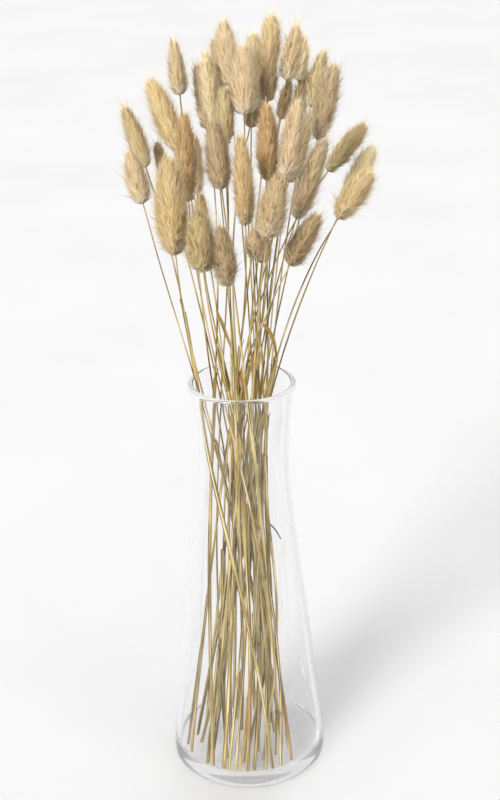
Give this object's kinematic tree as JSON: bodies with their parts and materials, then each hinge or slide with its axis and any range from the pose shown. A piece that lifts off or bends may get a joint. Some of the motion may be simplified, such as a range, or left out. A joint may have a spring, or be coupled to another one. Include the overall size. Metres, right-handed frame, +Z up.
{
  "type": "dried bunny tail grass in a glass vase",
  "caption": "Loose bunch of dried grass stalks with soft oval seed heads, standing in a waisted clear glass vase with a thick foot and a flared mouth.",
  "frame": {"origin": "centre of the vase's flat foot, on the surface it stands on", "axes": "+Z up along the vase's own axis, -Y towards the front of the bunch, +X to the right seen from the front"},
  "size_m": [0.1369, 0.106, 0.4498],
  "materials": {
    "clear_glass": "polished clear glass",
    "dried_grass_amber": "dry, matte, silky hairs on the seed head",
    "dried_grass_cream": "dry, matte, silky hairs on the seed head",
    "dried_grass_dark": "dry, matte, silky hairs on the seed head",
    "dried_grass_gold": "dry, matte, silky hairs on the seed head",
    "dried_grass_olive": "dry, matte, silky hairs on the seed head",
    "dried_grass_rose": "dry, matte, silky hairs on the seed head",
    "dried_grass_russet": "dry, matte, silky hairs on the seed head",
    "dried_grass_tan": "dry, matte, silky hairs on the seed head",
    "dried_grass_taupe": "dry, matte, silky hairs on the seed head"
  },
  "bodies": {
    "root": {"vase": "clear_glass", "stalk_01": "dried_grass_tan", "stalk_02": "dried_grass_gold", "stalk_03": "dried_grass_olive", "stalk_04": "dried_grass_rose", "stalk_05": "dried_grass_amber", "stalk_06": "dried_grass_rose", "stalk_07": "dried_grass_dark", "stalk_08": "dried_grass_gold", "stalk_09": "dried_grass_olive", "stalk_10": "dried_grass_gold", "stalk_11": "dried_grass_taupe", "stalk_12": "dried_grass_taupe", "stalk_13": "dried_grass_russet", "stalk_14": "dried_grass_cream", "stalk_15": "dried_grass_olive", "stalk_16": "dried_grass_rose", "stalk_17": "dried_grass_olive", "stalk_18": "dried_grass_cream", "stalk_19": "dried_grass_rose", "stalk_20": "dried_grass_gold", "stalk_21": "dried_grass_dark", "stalk_22": "dried_grass_dark", "stalk_23": "dried_grass_tan", "stalk_24": "dried_grass_cream", "stalk_25": "dried_grass_dark", "stalk_26": "dried_grass_olive", "stalk_27": "dried_grass_taupe", "stalk_28": "dried_grass_taupe", "stalk_29": "dried_grass_rose", "stalk_30": "dried_grass_olive", "stalk_31": "dried_grass_amber", "stalk_32": "dried_grass_gold", "stalk_33": "dried_grass_tan", "stalk_34": "dried_grass_cream", "stalk_35": "dried_grass_rose", "stalk_36": "dried_grass_rose", "stalk_37": "dried_grass_taupe", "stalk_38": "dried_grass_dark", "stalk_39": "dried_grass_olive", "stalk_40": "dried_grass_cream", "stalk_41": "dried_grass_gold"}
  },
  "joints": []
}
